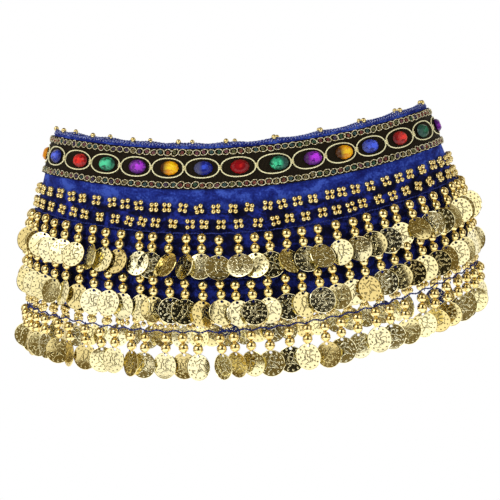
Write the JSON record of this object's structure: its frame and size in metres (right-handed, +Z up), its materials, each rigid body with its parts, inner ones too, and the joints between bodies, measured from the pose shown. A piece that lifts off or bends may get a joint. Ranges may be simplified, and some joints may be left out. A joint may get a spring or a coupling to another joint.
{
  "type": "belly dance hip scarf",
  "caption": "Velvet hip scarf in its worn shape, with a jewelled braid along the top, a crochet edging and tiered fringes of gold beads and coins.",
  "frame": {"origin": "centre of the hollow, level with the top edge at the centre front, where the wearer's hips hold the scarf", "axes": "+X towards the right in a front view, +Y towards the back where the ends lap, +Z up"},
  "size_m": [0.3722, 0.2369, 0.1986],
  "materials": {
    "velvet": "royal blue crushed velvet pile",
    "thread": "blue crochet thread",
    "braid": "black woven ribbon with gold cord and coloured thread",
    "gold": "polished pale gold plating",
    "gem_blue": "faceted clear acrylic, foiled behind",
    "gem_red": "faceted clear acrylic, foiled behind",
    "gem_green": "faceted clear acrylic, foiled behind",
    "gem_purple": "faceted clear acrylic, foiled behind",
    "gem_amber": "faceted clear acrylic, foiled behind"
  },
  "bodies": {
    "root": {"velvet_band": "velvet", "top_edging": "thread", "jewel_braid": "braid", "coin_fringe_upper": "gold", "coin_fringe_middle": "gold", "coin_fringe_lower": "gold", "gem_01": "gem_green", "gem_02": "gem_purple", "gem_03": "gem_amber", "gem_04": "gem_blue", "gem_05": "gem_red", "gem_06": "gem_green", "gem_07": "gem_purple", "gem_08": "gem_amber", "gem_09": "gem_blue", "gem_10": "gem_red", "gem_11": "gem_green", "gem_12": "gem_purple", "gem_13": "gem_amber", "gem_14": "gem_blue", "gem_15": "gem_red", "gem_16": "gem_green", "gem_17": "gem_purple", "gem_18": "gem_amber", "gem_19": "gem_blue", "gem_20": "gem_red", "gem_21": "gem_green", "gem_22": "gem_purple", "gem_23": "gem_amber", "gem_24": "gem_blue", "gem_25": "gem_red", "gem_26": "gem_green", "gem_27": "gem_purple", "gem_28": "gem_amber", "gem_29": "gem_blue"}
  },
  "joints": []
}
